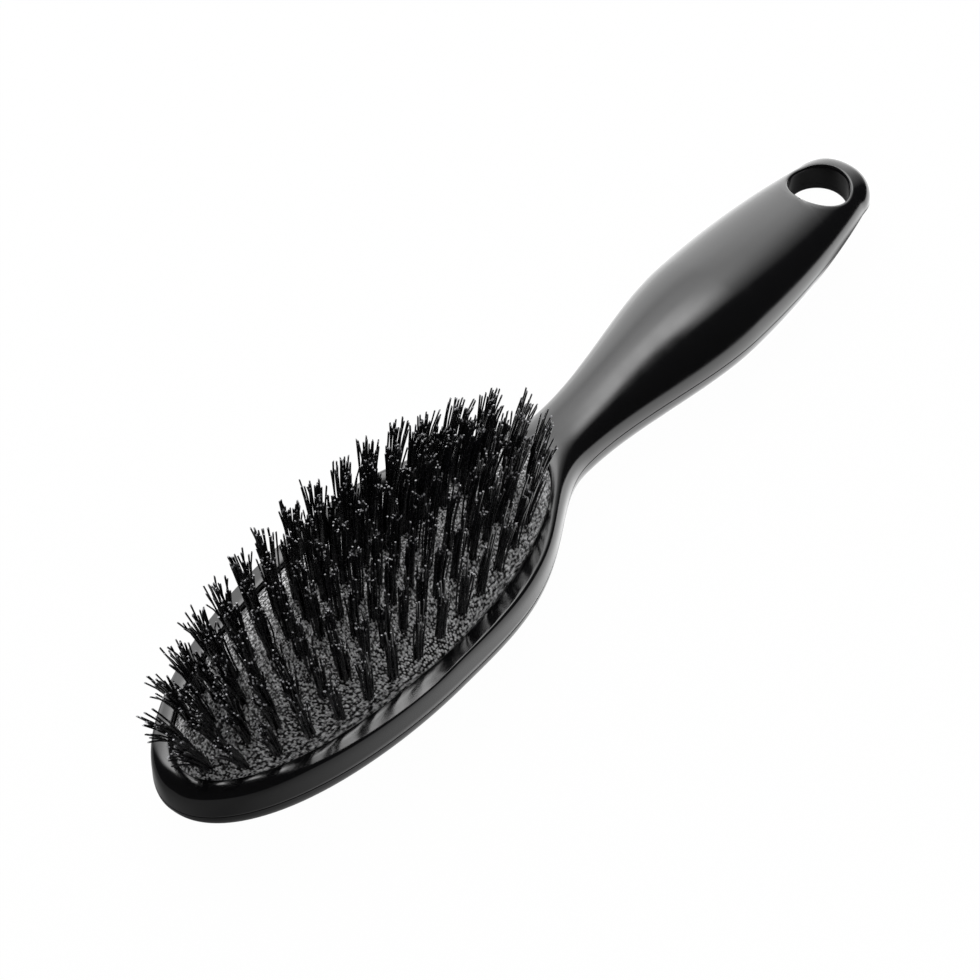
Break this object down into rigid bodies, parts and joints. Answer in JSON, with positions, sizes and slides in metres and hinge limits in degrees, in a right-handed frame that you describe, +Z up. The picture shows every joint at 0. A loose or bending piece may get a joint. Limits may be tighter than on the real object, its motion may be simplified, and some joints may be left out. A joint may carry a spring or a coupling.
{
  "type": "cushion hair brush",
  "caption": "Oval paddle hair brush with a domed rubber air cushion, fanned bristle tufts, a two-shell moulded body and a hanging hole in the handle.",
  "frame": {"origin": "on the surface the brush lies on, below the middle of its overall length and width", "axes": "+X from the head tip to the handle end, +Y across the head, +Z up through the back, the cushion and the bristles"},
  "size_m": [0.2303, 0.049, 0.0366],
  "materials": {
    "front_plastic": "polished black",
    "back_plastic": "polished black",
    "ring_plastic": "moulded",
    "cushion_rubber": "matt, finely pebbled",
    "bristle_nylon": "satin filaments"
  },
  "bodies": {
    "brush_body": {"front_shell": "front_plastic", "back_shell": "back_plastic", "retainer_ring": "ring_plastic", "cushion_pad": "cushion_rubber"},
    "crown_tufts": {"tufts_inner_left": "bristle_nylon", "tufts_inner_right": "bristle_nylon", "tufts_centre_middle": "bristle_nylon"},
    "flank_tufts": {"tufts_middle_left": "bristle_nylon", "tufts_middle_right": "bristle_nylon", "tufts_centre_tip": "bristle_nylon", "tufts_centre_heel": "bristle_nylon"},
    "shoulder_tufts": {"tufts_middle_tip": "bristle_nylon", "tufts_middle_heel": "bristle_nylon", "tufts_inner_tip": "bristle_nylon", "tufts_inner_heel": "bristle_nylon"},
    "edge_tufts": {"tufts_outer_tip": "bristle_nylon", "tufts_outer_left": "bristle_nylon", "tufts_outer_right": "bristle_nylon", "tufts_outer_heel": "bristle_nylon"}
  },
  "joints": [
    {"name": "cushion_press", "type": "slide", "parent": "brush_body", "child": "crown_tufts", "axis": [0, 0, -1], "range_m": [0, 0.003], "stiffness_N_per_m": 3000, "deforming": ["cushion_pad"]},
    {"name": "flank_sink", "type": "slide", "parent": "brush_body", "child": "flank_tufts", "axis": [0, 0, -1], "range_m": [0, 0.0021]},
    {"name": "shoulder_sink", "type": "slide", "parent": "brush_body", "child": "shoulder_tufts", "axis": [0, 0, -1], "range_m": [0, 0.00135]},
    {"name": "edge_sink", "type": "slide", "parent": "brush_body", "child": "edge_tufts", "axis": [0, 0, -1], "range_m": [0, 0.00075]}
  ],
  "couplings": [
    {"joint": "flank_sink", "follows": "cushion_press", "ratio": 0.7},
    {"joint": "shoulder_sink", "follows": "cushion_press", "ratio": 0.45},
    {"joint": "edge_sink", "follows": "cushion_press", "ratio": 0.25}
  ]
}
